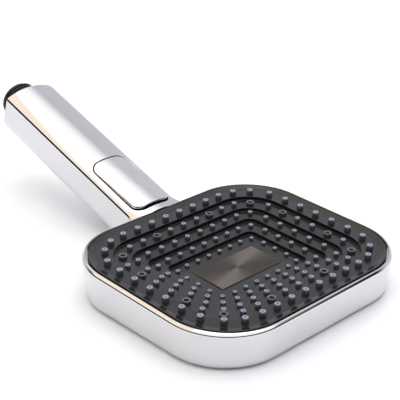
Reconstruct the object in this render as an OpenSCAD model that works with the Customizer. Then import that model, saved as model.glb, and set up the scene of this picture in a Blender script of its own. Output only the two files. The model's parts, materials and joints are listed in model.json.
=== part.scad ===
// Handheld shower head: a wide stepped spray face in a chromed body, with a push button in its handle.
// All sizes are in millimetres. The head lies on its flat back, spray face up, and the handle runs to +Y.

/* [Head] */
// Width of the head across its rim, along X
head_w = 131; // [129:0.5:133]
// Length of the head along its rim, along the handle's direction
head_l = 114; // [113:0.5:116]
// Corner radius of the rim, seen from above
head_r = 32.7; // [31:0.1:34]
// Height of the spray face's reference plane above the rest plane, at the middle of the head
face_h = 20.7; // [20.5:0.1:22]
// Tilt of the spray face against the flat back, in degrees
face_tilt = 1.7; // [1.5:0.1:1.9]
// Wall thickness of the body
wall = 2.2; // [2:0.1:2.4]

/* [Spray face] */
// Drop from one terrace to the next
step_h = 2.25; // [2:0.05:2.3]
// Thickness of the face plate
plate_t = 2.2; // [2:0.1:2.3]
// Thickness of the rubber mat behind the face plate
mat_t = 1.4; // [1.2:0.1:1.5]
// Height of an outer nozzle above its terrace
nozzle_h = 2.4; // [1.8:0.1:2.6]
// Radius of the water hole in a small nozzle
spray_r = 0.5; // [0.3:0.05:0.6]
// Radius of a jet nozzle
jet_r = 2.05; // [1.9:0.05:2.1]
// Length of the centre plate along X
badge_l = 39.2; // [36:0.2:40]
// Width of the centre plate
badge_w = 20; // [18:0.2:21]

/* [Handle] */
// Width of the handle across its flat sides
handle_w = 31; // [30.5:0.1:32]
// Depth of the handle from its side edges to its underside
handle_d = 22.4; // [22:0.1:23]
// Rise of the crowned top above the side edges
crown_rise = 4.15; // [3.8:0.05:4.4]
// Length of the handle, from the neck to its end
handle_len = 113.4; // [110:0.2:118]
// Angle between the handle and the spray face, in degrees
handle_angle = 17.33; // [17:0.05:17.7]

/* [Button] */
// Length of the opening for the button
button_l = 41.3; // [41:0.1:41.5]
// Width of the opening for the button
button_w = 23.7; // [23:0.1:23.8]
// Gap along the sides of the button cap
button_gap = 0.45; // [0.4:0.05:0.5]
// Gap at the head end of the button cap
button_front_gap = 0.9; // [0.85:0.05:1.1]
// How far the cap stands proud at its head end, in degrees of tilt
button_proud = 2.6; // [2.4:0.1:2.8]

/* [Hose thread] */
// Outer radius of the half-inch pipe thread
thread_r = 10.478; // [10.4:0.001:10.5]
// Length of the thread
thread_l = 10; // [9:0.1:10.4]

/* [Hidden] */
$fn = 64;

// Running clearance of a shaft or a piston in its bore, on the radius
run_fit = 0.05;
// Thickness of the slices that a hull is drawn over
slice = 0.02;

// Rim: the highest line of the body's side wall lies this far below the reference plane
rim_drop = 1.3;
half_w = head_w / 2;
half_l = head_l / 2;
// Chrome band between the rim's outer edge and the opening, along X and along Y
band_x = 2.0;
band_y = 1.6;
open_w = half_w - band_x;
open_l = half_l - band_y;
open_r = head_r - 1.7;
// Gap between the face plate and the opening
plate_gap = 0.9;
plate_w = open_w - plate_gap;
plate_l = open_l - plate_gap;
plate_r = open_r - plate_gap;
// Raised border of the face plate
border = 4;
plate_top = 0.4;
// Terraces: level of the outer one, and how many there are
floor_1 = -1.2;
terraces = 5;
floor_z = [for (k = [0:terraces - 1]) floor_1 - k * step_h];
// Half sizes and corner radius of each terrace's outer edge
terrace_w = [for (k = [0:4]) k == 0 ? plate_w - border : 51.2 - (k == 1 ? 0 : 8.15 + 7.3 * (k - 2))];
terrace_l = [for (k = [0:4]) k == 0 ? plate_l - border : 42.8 - (k == 1 ? 0 : 8.35 + 7.25 * (k - 2))];
terrace_r = [plate_r - border, 18.5, 12, 6, 4];
// Paths that the nozzles stand along: half sizes, corner radius, and nozzle radius of each terrace
path_w = [55, 47, 39.5, 32.6, 25.8];
path_l = [46.4, 38.2, 30.7, 23.3, 16.1];
path_r = [22.5, 15.4, 6.8, 5.3, 3.7];
tip_r = [1.75, 1.5, 1.45, 1.4, 1.25];
// Nozzles between two corners of the outer path, along X and along Y, one less on each terrace inward
count_x = 10;
count_y = 7;
jet_terrace = 1;

// Levels of the ledge under the face plate and of the chamber tray, and the tray's half sizes
ledge_z = -4;
tray_w = plate_w - 1.7;
tray_l = plate_l - 1.7;
tray_r = plate_r - 1.7;
tray_bottom = -16.6;
tray_floor = -15.4;
gasket_t = 0.6;
mat_under = floor_1 - plate_t - mat_t;
tray_top = mat_under - gasket_t;

// Handle frame: its origin lies on the face, at the neck
neck_y = 58;
edge_drop = 3.24;
crown_r = (pow(handle_w / 2, 2) + pow(crown_rise, 2)) / (2 * crown_rise);
heel_r = 9;
shell_t = 2.5;

// Button: where the opening starts along the handle, and where the hinge pin lies
button_y0 = 2.25;
button_corner = 6;
pin_y = 40.2;
pin_z = -1.2;
pin_r = 0.8;
pocket_z = -5.2;
plunger_y = 11;
pocket_t = 1.2;

// Valve: levels in the handle frame, measured from the plane of the side edges
valve_y0 = 4.2;
valve_y1 = 20.2;
valve_half = 9;
valve_top = -6.4;
valve_bottom = -19;
chamber_r = 5.2;
chamber_floor = -12.2;
bore_r = 3.2;
bore_floor = -17.4;
rod_r = 2;
rod_top = -1.5;
land_z0 = -14.9;
land_z1 = -12.3;
land_seal_z = -12.9;
rotor_z0 = -8.7;
rotor_z1 = -7.4;
// The ribs of the latch rotor end just under the slotted edge of the gland
rib_top = -7.25;
slot_top = -5.7;
gland_z0 = -7.2;
gland_z1 = -3.9;
rod_seal_z = -4.75;
gland_r = 5.15;
collar_z0 = -7.35;
collar_z1 = -5.65;
collar_r = 2.9;
latch_ribs = 4;
tray_screw_x = 6.8;
tray_screw_y = 16.6;
tray_screw_z = -12;

// Return spring: turns, steps in a turn, sides of the wire, and its radii at the wide and the narrow end
spring_turns = 4;
spring_steps = 24;
spring_sides = 8;
spring_wire = 0.25;
spring_r0 = 3.9;
spring_r1 = 2.8;
spring_z0 = chamber_floor + spring_wire + 0.02;
spring_z1 = rotor_z0 - spring_wire - 0.02;

// Ports from the valve to the head, in the face frame
nose_y0 = 57.6;
nose_z0 = -16.9;
nose_z1 = -8.8;
rain_x = -4;
rain_z = -12.85;
rain_r = 2.6;
jet_x = 2.2;
jet_z = -14.4;
feed_r = 1;
pipe_t = 0.8;
pipe_y1 = 63.5;
pipe_seal_y = 61;
pipe_seal_r = 0.3;
// Closed channel that feeds the jets: half its width, and its levels
channel_half = 2.9;
ring_z0 = tray_floor + 0.05;
ring_z1 = -10.4;

// Water tube, under the button's pocket, and its end socket, on the axis of the hose thread
tube_z = -12.8;
tube_r = 6.2;
tube_in = 5;
tube_y0 = 21;
socket_y0 = 97;
socket_r = 9.4;
socket_in = 7.6;
thread_z = -10.3;
tube_seal_y = 25;
tube_seal_r = 0.35;
spigot_y0 = socket_y0 + 2.2;
spigot_seal_y = 104;

// End cap, and the hose connector whose collar clamps it against the tube's socket
cap_t = 1.5;
cap_y1 = handle_len - 0.05;
cap_y0 = cap_y1 - cap_t;
collar_l = 0.8;
thread_y0 = handle_len + collar_l;
thread_y1 = thread_y0 + thread_l;
thread_chamfer = 0.8;
inlet_r = 6.8;
inlet_y0 = handle_len + 0.5;

// Points of one side of a nozzle path, from its first corner, at a distance s along the path
function side_point(u, v, r, s) =
    let (arc = r * PI / 4, straight = 2 * (v - r))
    s < arc ? [u - r + r * cos(45 - s / r * 180 / PI), v - r + r * sin(45 - s / r * 180 / PI)]
    : s < arc + straight ? [u, v - r - (s - arc)]
    : let (turn = -(s - arc - straight) / r * 180 / PI) [u - r + r * cos(turn), r - v + r * sin(turn)];
function side_length(v, r) = 2 * (v - r) + r * PI / 2;
function on_y_side(k) = let (n = count_y - k, len = side_length(path_l[k], path_r[k]))
    [for (i = [0:n]) side_point(path_w[k], path_l[k], path_r[k], len * i / (n + 1))];
function on_x_side(k) = let (n = count_x - k, len = side_length(path_w[k], path_r[k]))
    [for (i = [0:n]) let (p = side_point(path_l[k], path_w[k], path_r[k], len * i / (n + 1)))
        [p[1], -p[0]]];
// Jets stand at the corners of the second terrace and at two places on each of its sides
function jet_on_y(k, i) = k == jet_terrace && (i == 0 || i == 2 || i == 5);
function jet_on_x(k, i) = k == jet_terrace && (i == 0 || i == 3 || i == 7);
function ring(k, jets) = let (py = on_y_side(k), px = on_x_side(k)) concat(
    [for (i = [0:len(py) - 1]) if (jet_on_y(k, i) == jets) each [py[i], -py[i]]],
    [for (i = [0:len(px) - 1]) if (jet_on_x(k, i) == jets) each [px[i], -px[i]]]);
function height(k) = nozzle_h - 0.2 * k;

// Frame of the spray face: Z leaves the face
module at_face() {
    translate([0, 0, face_h]) rotate([face_tilt, 0, 0]) children();
}

// Frame of the handle: Y runs to the hose end, Z leaves the crown
module at_handle() {
    at_face() translate([0, neck_y, -edge_drop]) rotate([handle_angle, 0, 0]) children();
}

// Upright cylinder from z0 to z1
module post(r, z0, z1, x = 0, y = 0) {
    translate([x, y, z0]) cylinder(r = r, h = z1 - z0);
}

// Cylinder along Y from y0 to y1
module rod_y(r, y0, y1, x = 0, z = 0) {
    translate([x, y0, z]) rotate([-90, 0, 0]) cylinder(r = r, h = y1 - y0);
}

// Box between two corners
module box(a, b) {
    translate(a) cube(b - a);
}

// Rounded rectangle of half sizes u and v
module rounded(u, v, r) {
    square([2 * u, 2 * (v - r)], center = true);
    square([2 * (u - r), 2 * v], center = true);
    for (x = [-1, 1], y = [-1, 1]) translate([x * (u - r), y * (v - r)]) circle(r = r);
}

module slab(u, v, r, z0, z1) {
    translate([0, 0, z0]) linear_extrude(height = z1 - z0) rounded(u, v, r);
}

// Space above the terraces: down shifts it lower and out makes it wider, so two of them bound a sheet
module terrace_space(down, out) {
    for (k = [0:terraces - 1]) {
        z0 = floor_z[k] - down;
        slab(terrace_w[k] + out, terrace_l[k] + out, terrace_r[k] + out, z0, plate_top + 1);
    }
}

// Cross-section of the handle, drawn inward by i
module section(i) {
    half = handle_w / 2 - i;
    low = handle_d - i;
    r = heel_r - i;
    intersection() {
        union() {
            translate([-half, -(low - r)]) square([2 * half, low - r + crown_rise]);
            translate([-(half - r), -low]) square([2 * (half - r), low]);
            for (x = [-1, 1]) translate([x * (half - r), -(low - r)]) circle(r = r);
        }
        translate([0, crown_rise - crown_r]) circle(r = crown_r - i, $fn = 180);
    }
}

module handle_bar(i, y0, y1) {
    translate([0, y1, 0]) rotate([90, 0, 0]) linear_extrude(height = y1 - y0) section(i);
}

module head_slice_face(inset_x, inset_y, z) {
    at_face() slab(half_w - inset_x, half_l - inset_y, head_r - inset_x, z - slice, z);
}

module head_slice_back(inset, z) {
    slab(half_w - inset, half_l - inset, head_r - inset, z, z + slice);
}

// Outer shape of the head: tapered side wall, rounded back edge, sloping chrome band at the rim
module head_outer() {
    hull($fn = 48) {
        head_slice_face(0, 0, -rim_drop);
        head_slice_face(band_x, band_y, 0);
        head_slice_back(1.2, 4.6);
        head_slice_back(1.6, 2.3);
        head_slice_back(2.9, 0.7);
        head_slice_back(5.2, 0);
    }
}

// Flares on both sides of the neck, where the handle runs into the head's rear wall
module neck_flare() {
    hull($fn = 24) {
        at_face() box([-20, half_l - 3, -18], [20, half_l - 1.8, -3.4]);
        at_handle() box([-handle_w / 2 + 0.1, 6, -16], [handle_w / 2 - 0.1, 8, -1.2]);
    }
}

module button_outline(gap) {
    y_mid = button_y0 + button_l / 2;
    translate([0, y_mid]) rounded(button_w / 2 - gap, button_l / 2 - gap, button_corner - gap);
}

module button_prism(gap, z0, z1) {
    translate([0, 0, z0]) linear_extrude(height = z1 - z0) button_outline(gap);
}

module body_outer() {
    intersection() {
        union() {
            head_outer();
            difference() {
                at_handle() handle_bar(0, -12, handle_len);
                at_face() box([-40, 0, -3], [40, half_l - 0.7, 20]);
            }
            neck_flare();
        }
        box([-100, -100, 0], [100, 300, 100]);
    }
}

module body_hollow() {
    at_face() slab(open_w, open_l, open_r, ledge_z, 6);
    intersection() {
        at_face() slab(tray_w + 0.3, tray_l + 0.3, tray_r + 0.3, -25, 1);
        box([-80, -80, wall], [80, 80, 60]);
    }
    intersection() {
        union() {
            at_handle() intersection() {
                handle_bar(shell_t, 2, handle_len + 1);
                union() {
                    box([-20, 0, -30], [20, 60, pocket_z - pocket_t]);
                    box([-19, 46, -29], [19, 200, 20]);
                }
            }
            at_face() {
                box([-valve_half - 0.3, tray_l - 2, nose_z0 - 0.2], [valve_half + 0.3, 68, nose_z1 + 0.2]);
            }
        }
        box([-80, 0, wall], [80, 300, 100]);
    }
}

module chrome_body() {
    color("gainsboro") difference() {
        union() {
            difference() {
                body_outer();
                body_hollow();
            }
            at_face() post(5, -19.5, tray_bottom - 0.1);
        }
        at_handle() button_prism(0, pocket_z, 8);
        at_handle() button_prism(1.4, pocket_z - 3, 8);
        at_face() post(1.95, -17.9, -10);
    }
}

module face_plate() {
    color([0.2, 0.2, 0.21]) at_face() difference() {
        union() {
            slab(plate_w, plate_l, plate_r, floor_1 - plate_t, plate_top);
            terrace_space(plate_t, 1.8);
        }
        terrace_space(0, 0);
        slab(100, 100, 5, plate_top, 20);
        for (k = [0:terraces - 1]) {
            for (p = ring(k, false)) post(tip_r[k] + run_fit, floor_z[k] - 5, 2, p[0], p[1]);
            for (p = ring(k, true)) post(jet_r + run_fit, floor_z[k] - 5, 2, p[0], p[1]);
        }
        translate([0, 0, floor_z[4]]) cube([badge_l + 0.1, badge_w + 0.1, 1.6], center = true);
        post(3.9, floor_z[4] - 1.6, 0);
        post(2.6, -20, 0);
    }
}

module nozzle(k, x, y) {
    foot = floor_z[k] - plate_t - mat_t / 2;
    top = floor_z[k] + height(k);
    neck = floor_z[k] + 0.5;
    end_r = tip_r[k] * 0.84;
    translate([x, y, 0]) {
        post(tip_r[k], foot, neck);
        translate([0, 0, neck]) cylinder(r1 = tip_r[k], r2 = end_r, h = top - neck);
        post(end_r, top - 0.01, top);
    }
}

module nozzle_mat() {
    mat_out = 1.7;
    color([0.55, 0.58, 0.66]) at_face() difference() {
        union() {
            difference() {
                intersection() {
                    terrace_space(plate_t + mat_t, 1.8 + mat_t);
                    slab(terrace_w[0] + mat_out, terrace_l[0] + mat_out, terrace_r[0] + mat_out,
                         -30, floor_1 - plate_t);
                }
                terrace_space(plate_t, 1.8);
            }
            for (k = [0:terraces - 1]) for (p = ring(k, false)) nozzle(k, p[0], p[1]);
        }
        for (k = [0:terraces - 1]) {
            for (p = ring(k, false)) post(spray_r, -20, 2, p[0], p[1]);
            for (p = ring(k, true)) post(jet_r, -20, 2, p[0], p[1]);
        }
        post(3.35, -20, 2);
    }
}

module jet_nozzles() {
    z0 = floor_z[jet_terrace] - plate_t - mat_t;
    top = floor_z[jet_terrace] + 1.7;
    hole_r = 1.1;
    mouth_r = 1.5;
    mouth_h = 0.7;
    color([0.5, 0.52, 0.58]) at_face() for (p = ring(jet_terrace, true)) {
        translate([p[0], p[1], 0]) difference() {
            post(jet_r, z0, top);
            post(hole_r, z0 - 1, top + 1);
            translate([0, 0, top - mouth_h]) cylinder(r1 = hole_r, r2 = mouth_r, h = mouth_h + 0.01);
        }
    }
}

module centre_plate() {
    z0 = floor_z[4] - 0.8;
    color([0.35, 0.33, 0.32]) at_face() {
        translate([0, 0, z0 + 0.6]) cube([badge_l, badge_w, 1.2], center = true);
    }
}

module centre_screw() {
    head_z = floor_z[4] - 0.9;
    color("silver") at_face() difference() {
        union() {
            post(3.7, head_z - 0.6, head_z);
            post(1.9, -17.7, head_z - 0.3);
        }
        translate([0, 0, head_z]) cube([4.6, 0.8, 0.6], center = true);
        translate([0, 0, head_z]) cube([0.8, 4.6, 0.6], center = true);
    }
}

module screw_seal() {
    z1 = floor_z[4] - 1.6;
    color([0.1, 0.1, 0.1]) at_face() difference() {
        post(2.55, z1 - 0.6, z1 + 0.05);
        post(1.95, -20, 0);
    }
}

module centre_sleeve() {
    color("silver") at_face() difference() {
        post(2.5, tray_floor - 1.2, floor_z[4] - 2.25);
        post(1.95, -20, 0);
    }
}

module mat_gasket() {
    color([0.12, 0.12, 0.12]) at_face() difference() {
        slab(terrace_w[0] + 1.7, terrace_l[0] + 1.7, terrace_r[0] + 1.7, tray_top, mat_under);
        slab(terrace_w[0] - 0.5, terrace_l[0] - 0.5, terrace_r[0] - 0.5, tray_top - 1, mat_under + 1);
    }
}

module chamber_tray() {
    color([0.25, 0.25, 0.27]) at_face() difference() {
        slab(tray_w, tray_l, tray_r, tray_bottom, tray_top);
        slab(tray_w - 2.4, tray_l - 2.4, tray_r - 2.4, tray_floor, 1);
        post(2.55, -20, 0);
        rod_y(rain_r + pipe_t + run_fit, tray_l - 2.41, 60, rain_x, rain_z);
        rod_y(feed_r + pipe_t + run_fit, path_l[1] + 1.9, 60, jet_x, jet_z);
    }
}

// Closed channel that runs under the jets, with a spout up to each one
module channel(out, in, z0, z1) {
    difference() {
        slab(path_w[1] + out, path_l[1] + out, path_r[1] + out, z0, z1);
        slab(path_w[1] - in, path_l[1] - in, path_r[1] - in, z0 - 1, z1 + 1);
    }
}

module jet_ring() {
    color([0.3, 0.3, 0.33]) at_face() difference() {
        union() {
            channel(channel_half, channel_half, ring_z0, ring_z1);
            rod_y(feed_r + pipe_t, path_l[1] + 2, 46, jet_x, jet_z);
        }
        channel(channel_half - 0.9, channel_half - 0.9, ring_z0 + 0.8, ring_z1 + 1);
        rod_y(feed_r, path_l[1], 47, jet_x, jet_z);
    }
}

module jet_ring_lid() {
    spout_top = floor_z[jet_terrace] - plate_t - mat_t;
    color([0.34, 0.34, 0.37]) at_face() difference() {
        union() {
            channel(channel_half, channel_half, ring_z1, ring_z1 + 1);
            for (p = ring(jet_terrace, true)) post(2, ring_z1 + 0.5, spout_top, p[0], p[1]);
        }
        for (p = ring(jet_terrace, true)) post(1.2, ring_z1 - 1, spout_top + 1, p[0], p[1]);
    }
}

module feed_pipe(r, y0, x, z) {
    difference() {
        rod_y(r + pipe_t, y0, pipe_y1, x, z);
        rod_y(r, y0 - 1, 65, x, z);
    }
}

module jet_feed_pipe() {
    color([0.7, 0.7, 0.72]) at_face() feed_pipe(feed_r, 46, jet_x, jet_z);
}

module rain_feed_pipe() {
    color([0.7, 0.7, 0.72]) at_face() feed_pipe(rain_r, tray_l - 2.4, rain_x, rain_z);
}

module o_ring(mid_r, wire_r) {
    rotate_extrude() translate([mid_r, 0]) circle(r = wire_r, $fn = 24);
}

// O-ring of wire radius w that sits on a shaft of radius r lying along Y
module seal_y(r, w, y, x, z) {
    translate([x, y, z]) rotate([90, 0, 0]) o_ring(r + w + 0.01, w);
}

module feed_seals() {
    color([0.1, 0.1, 0.1]) at_face() {
        seal_y(rain_r + pipe_t, pipe_seal_r, pipe_seal_y, rain_x, rain_z);
        seal_y(feed_r + pipe_t, pipe_seal_r, pipe_seal_y, jet_x, jet_z);
    }
}

// The button cap follows the crown, tilted about its hinge so that its head end stands proud
module cap_outline() {
    y0 = button_y0 + button_front_gap;
    y1 = button_y0 + button_l - button_gap;
    r = button_corner - button_gap;
    translate([0, (y0 + y1) / 2]) rounded(button_w / 2 - button_gap, (y1 - y0) / 2, r);
}

module button_cap() {
    lug_half = 4;
    underside = 0.9;
    pad_r = 2;
    color("whitesmoke") at_handle() difference() {
        union() {
            intersection() {
                translate([0, 0, underside]) linear_extrude(height = 8) cap_outline();
                translate([0, pin_y, pin_z]) rotate([-button_proud, 0, 0]) {
                    rod_y(crown_r, -60, 30, 0, crown_rise - crown_r - pin_z);
                }
            }
            along_x(1.9, lug_half, pin_y, pin_z);
            box([-lug_half, pin_y - 1.9, pin_z], [lug_half, pin_y + 1.2, underside + 0.5]);
            post(pad_r, rod_top + 0.08, underside + 0.5, 0, plunger_y);
        }
        along_x(pin_r + run_fit, 20, pin_y, pin_z);
    }
}

// Cylinder along X, half long on each side
module along_x(r, half, y, z) {
    translate([-half, y, z]) rotate([0, 90, 0]) cylinder(r = r, h = 2 * half);
}

module button_pin() {
    color("silver") at_handle() along_x(pin_r, 5.8, pin_y, pin_z);
}

module button_tray() {
    top = pocket_z + 1.6;
    color([0.12, 0.12, 0.13]) at_handle() difference() {
        union() {
            button_prism(0.15, pocket_z, top);
            for (x = [-5.8, 4.2]) box([x, pin_y - 1.6, top - 0.1], [x + 1.6, pin_y + 1.6, pin_z + 1.6]);
        }
        along_x(pin_r, 5.8, pin_y, pin_z);
        post(gland_r + 0.05, pocket_z - 1, top + 1, 0, plunger_y);
        for (x = [-1, 1]) post(1.05, pocket_z - 1, top + 1, x * tray_screw_x, tray_screw_y);
    }
}

module tray_screws() {
    head_z = pocket_z + 1.6;
    head_h = 0.9;
    slot_l = 2.6;
    slot_w = 0.5;
    color("silver") at_handle() for (x = [-tray_screw_x, tray_screw_x]) {
        translate([x, tray_screw_y, 0]) difference() {
            union() {
                post(2, head_z, head_z + head_h);
                post(1, tray_screw_z, head_z + 0.1);
            }
            translate([0, 0, head_z + head_h]) cube([slot_l, slot_w, 0.8], center = true);
            translate([0, 0, head_z + head_h]) cube([slot_w, slot_l, 0.8], center = true);
        }
    }
}

// Plunger: the rod under the button carries the collar that turns the latch, and the spool head below
module plunger_rod() {
    color("silver") at_handle() translate([0, plunger_y, 0]) {
        translate([0, 0, rod_top - 0.7]) cylinder(r1 = rod_r, r2 = 0.6, h = 0.7);
        post(rod_r, -12, rod_top - 0.7);
        post(collar_r, collar_z0, collar_z1);
        post(1.2, land_z0 + 0.8, -11.9);
    }
}

module spool_head() {
    color([0.85, 0.85, 0.83]) at_handle() translate([0, plunger_y, 0]) difference() {
        post(bore_r - run_fit, land_z0, land_z1);
        post(1.2, land_z0 + 0.8, land_z1 + 1);
        difference() {
            post(bore_r + 1, land_seal_z - 0.35, land_seal_z + 0.35);
            post(2.48, land_seal_z - 1, land_seal_z + 1);
        }
    }
}

module spool_seal() {
    color([0.1, 0.1, 0.1]) at_handle() translate([0, plunger_y, land_seal_z]) o_ring(2.82, 0.33);
}

module rod_seal() {
    color([0.1, 0.1, 0.1]) at_handle() translate([0, plunger_y, rod_seal_z]) o_ring(2.43, 0.4);
}

// Conical return spring: the ring of points round its wire at step i
function spring_ring(i) =
    let (n = spring_turns * spring_steps, t = i / n, a = 360 * i / spring_steps)
    let (mid = spring_r0 + (spring_r1 - spring_r0) * t)
    [for (j = [0:spring_sides - 1]) let (b = 360 * j / spring_sides, q = mid + spring_wire * cos(b))
        [q * cos(a), q * sin(a), spring_z0 + (spring_z1 - spring_z0) * t + spring_wire * sin(b)]];
module return_spring() {
    n = spring_turns * spring_steps;
    m = spring_sides;
    side_faces = [for (i = [0:n - 1], j = [0:m - 1])
        [i * m + j, (i + 1) * m + j, (i + 1) * m + (j + 1) % m, i * m + (j + 1) % m]];
    first_face = [for (j = [0:m - 1]) j];
    last_face = [for (j = [0:m - 1]) n * m + m - 1 - j];
    all_faces = concat([first_face, last_face], side_faces);
    color("silver") at_handle() translate([0, plunger_y, 0]) {
        polyhedron(points = [for (i = [0:n]) each spring_ring(i)], faces = all_faces);
    }
}

// Latch rotor: its ribs leave the slots of the gland at each press, and it turns by half a slot
module latch_rotor() {
    rib_w = 1.2;
    color([0.9, 0.75, 0.3]) at_handle() translate([0, plunger_y, 0]) difference() {
        union() {
            post(3.4, rotor_z0, rotor_z1);
            for (i = [0:latch_ribs - 1]) rotate([0, 0, 45 + 360 * i / latch_ribs]) {
                box([3.2, -rib_w / 2, rotor_z0], [4.5, rib_w / 2, rib_top]);
            }
        }
        post(rod_r + run_fit, rotor_z0 - 1, rotor_z1 + 1);
    }
}

module valve_gland() {
    slot_w = 1.8;
    color([0.75, 0.72, 0.6]) at_handle() translate([0, plunger_y, 0]) difference() {
        union() {
            post(gland_r, gland_z0, gland_z1);
            post(6.4, valve_top, pocket_z);
        }
        post(collar_r + 0.1, gland_z0 - 1, collar_z1 + 0.03);
        post(rod_r + run_fit, gland_z0, gland_z1 + 1);
        post(2.85, rod_seal_z - 0.45, rod_seal_z + 0.45);
        for (i = [0:latch_ribs - 1]) rotate([0, 0, 45 + 360 * i / latch_ribs]) {
            box([2, -slot_w / 2, gland_z0 - 1], [4.7, slot_w / 2, slot_top]);
        }
    }
}

module valve_body() {
    boss_y1 = valve_y1 + 9;
    groove = 2 * pipe_seal_r + 0.03;
    color([0.82, 0.82, 0.8]) difference() {
        union() {
            at_handle() box([-valve_half, valve_y0, valve_bottom], [valve_half, valve_y1, valve_top]);
            at_handle() intersection() {
                rod_y(tube_r + 1.6, valve_y1 - 1, boss_y1, 0, tube_z);
                box([-20, 0, valve_bottom], [20, 60, valve_top - 0.1]);
            }
            at_face() box([-valve_half, nose_y0, nose_z0], [valve_half, 66, nose_z1]);
        }
        at_handle() post(chamber_r, chamber_floor, 1, 0, plunger_y);
        at_handle() post(bore_r, bore_floor, 1, 0, plunger_y);
        at_handle() rod_y(tube_r + run_fit, tube_y0 - 0.4, boss_y1 + 1, 0, tube_z);
        at_handle() rod_y(2.4, plunger_y, tube_y0, 0, -9.6);
        at_handle() post(2, -13, -8.4, -3.2, 6.8);
        at_handle() for (x = [-1, 1]) post(1, tray_screw_z, 1, x * tray_screw_x, tray_screw_y);
        at_face() rod_y(rain_r, nose_y0 - 1, 68, rain_x, rain_z);
        at_face() rod_y(feed_r, nose_y0 - 1, 71, jet_x, jet_z);
        at_face() rod_y(rain_r + pipe_t + run_fit, nose_y0 - 1, pipe_y1 + 0.1, rain_x, rain_z);
        at_face() rod_y(feed_r + pipe_t + run_fit, nose_y0 - 1, pipe_y1 + 0.1, jet_x, jet_z);
        at_face() rod_y(rain_r + pipe_t + groove, pipe_seal_y - 0.4, pipe_seal_y + 0.4, rain_x, rain_z);
        at_face() rod_y(feed_r + pipe_t + groove, pipe_seal_y - 0.4, pipe_seal_y + 0.4, jet_x, jet_z);
    }
}

// Groove for an O-ring of wire radius w, cut into a shaft of radius r lying along Y
module groove_y(r, w, y, z) {
    difference() {
        rod_y(r + 1, y - w - 0.05, y + w + 0.05, 0, z);
        rod_y(r - 2 * w + 0.02, y - 2, y + 2, 0, z);
    }
}

module water_tube() {
    color([0.9, 0.9, 0.9]) at_handle() difference() {
        union() {
            rod_y(tube_r, tube_y0, socket_y0 + 1, 0, tube_z);
            rod_y(socket_r, socket_y0, cap_y0, 0, thread_z);
        }
        rod_y(tube_in, tube_y0 - 1, socket_y0 + 3, 0, tube_z);
        rod_y(socket_in, socket_y0 + 2, cap_y0 + 1, 0, thread_z);
        groove_y(tube_r, tube_seal_r, tube_seal_y, tube_z);
    }
}

module tube_seals() {
    color([0.1, 0.1, 0.1]) at_handle() {
        seal_y(tube_r - 2 * tube_seal_r + 0.02, tube_seal_r, tube_seal_y, 0, tube_z);
    }
}

module end_cap() {
    color([0.06, 0.06, 0.06]) at_handle() difference() {
        handle_bar(shell_t + run_fit, cap_y0, cap_y1);
        rod_y(socket_in + run_fit, cap_y0 - 1, cap_y1 + 1, 0, thread_z);
    }
}

module hose_connector() {
    spigot_r = socket_in - run_fit;
    color([0.05, 0.05, 0.05]) at_handle() difference() {
        union() {
            rod_y(spigot_r, spigot_y0, handle_len + 0.1, 0, thread_z);
            rod_y(thread_r - 0.3, handle_len, thread_y0 + 0.1, 0, thread_z);
            rod_y(thread_r, thread_y0, thread_y1 - thread_chamfer, 0, thread_z);
            translate([0, thread_y1, thread_z]) rotate([90, 0, 0]) {
                cylinder(r1 = thread_r - thread_chamfer, r2 = thread_r, h = thread_chamfer);
            }
        }
        rod_y(5, spigot_y0 - 1, thread_y1 + 1, 0, thread_z);
        rod_y(inlet_r, inlet_y0, thread_y1 + 1, 0, thread_z);
        groove_y(spigot_r, tube_seal_r, spigot_seal_y, thread_z);
    }
}

module connector_seal() {
    color([0.1, 0.1, 0.1]) at_handle() {
        seal_y(socket_in - run_fit - 2 * tube_seal_r + 0.02, tube_seal_r, spigot_seal_y, 0, thread_z);
    }
}

module flow_regulator() {
    y0 = inlet_y0;
    color([0.3, 0.6, 0.45]) at_handle() difference() {
        rod_y(inlet_r - run_fit, y0, y0 + 2.5, 0, thread_z);
        for (i = [0:5]) rod_y(0.7, y0 - 1, y0 + 4, 3.6 * cos(60 * i), thread_z + 3.6 * sin(60 * i));
    }
}

module inlet_screen() {
    y0 = inlet_y0 + 2.55;
    pitch = 1.9;
    hole = 1.2;
    color([0.75, 0.75, 0.72]) at_handle() difference() {
        rod_y(inlet_r - run_fit, y0, y0 + 0.6, 0, thread_z);
        for (i = [-3:3], j = [-3:3]) if (i * i + j * j < 9.5) {
            x = i * pitch - hole / 2;
            z = thread_z + j * pitch - hole / 2;
            translate([x, y0 - 1, z]) cube([hole, 3, hole]);
        }
    }
}

chrome_body();
face_plate();
nozzle_mat();
jet_nozzles();
centre_plate();
centre_screw();
screw_seal();
centre_sleeve();
mat_gasket();
chamber_tray();
jet_ring();
jet_ring_lid();
jet_feed_pipe();
rain_feed_pipe();
feed_seals();
button_cap();
button_pin();
button_tray();
tray_screws();
plunger_rod();
spool_head();
spool_seal();
return_spring();
latch_rotor();
valve_gland();
rod_seal();
valve_body();
water_tube();
tube_seals();
end_cap();
hose_connector();
connector_seal();
flow_regulator();
inlet_screen();
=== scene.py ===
import json
import math

import bmesh
import bpy
import numpy as np
from mathutils import Matrix, Vector

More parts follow.
